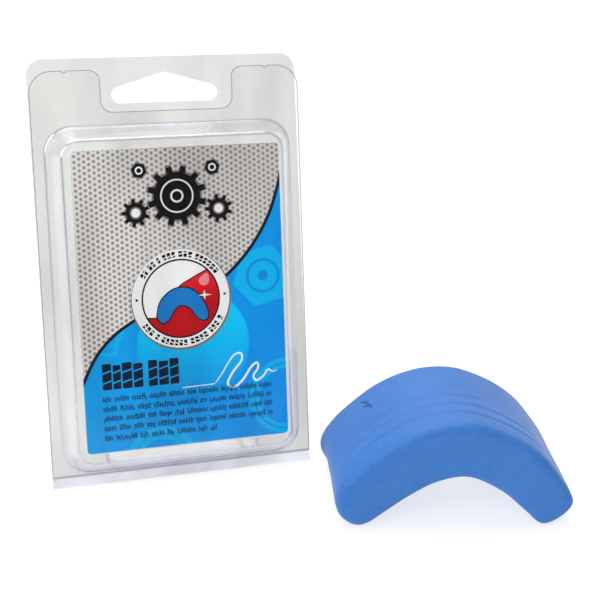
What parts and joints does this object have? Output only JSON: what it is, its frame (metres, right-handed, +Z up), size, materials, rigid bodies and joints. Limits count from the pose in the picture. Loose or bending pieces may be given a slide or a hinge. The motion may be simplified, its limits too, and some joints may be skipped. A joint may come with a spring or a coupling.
{
  "type": "clay bar",
  "caption": "Bent bar of blue detailing clay standing beside its clear clamshell pack with a hang tab, a bar pocket and a printed card.",
  "frame": {"origin": "on the table, under the middle of the footprint of the pack and the bar together", "axes": "+X to the right seen from the printed side, along the pack's width; +Y to the back of the pack; +Z up"},
  "size_m": [0.162, 0.0996, 0.1302],
  "materials": {
    "clear_sheet": "clear thermoformed sheet, glossy",
    "printed_card": "gloss print on white card",
    "clay": "smooth, satin, slightly waxy"
  },
  "bodies": {
    "back_half": {"back_shell": "clear_sheet", "living_hinge": "clear_sheet"},
    "front_half": {"front_shell": "clear_sheet", "insert_card": "printed_card"},
    "bar": {"clay_bar": "clay"}
  },
  "joints": [
    {"name": "front_half_hinge", "type": "hinge", "parent": "back_half", "child": "front_half", "pos_m": [-0.03835, 0.01065, 0.0018], "axis": [1, 0, 0], "range_deg": [-1.3, 65], "deforming": ["living_hinge"]},
    {"name": "bar_slide", "type": "slide", "parent": "back_half", "child": "bar", "axis": [1, 0, 0], "range_m": [0, 0.06]}
  ]
}
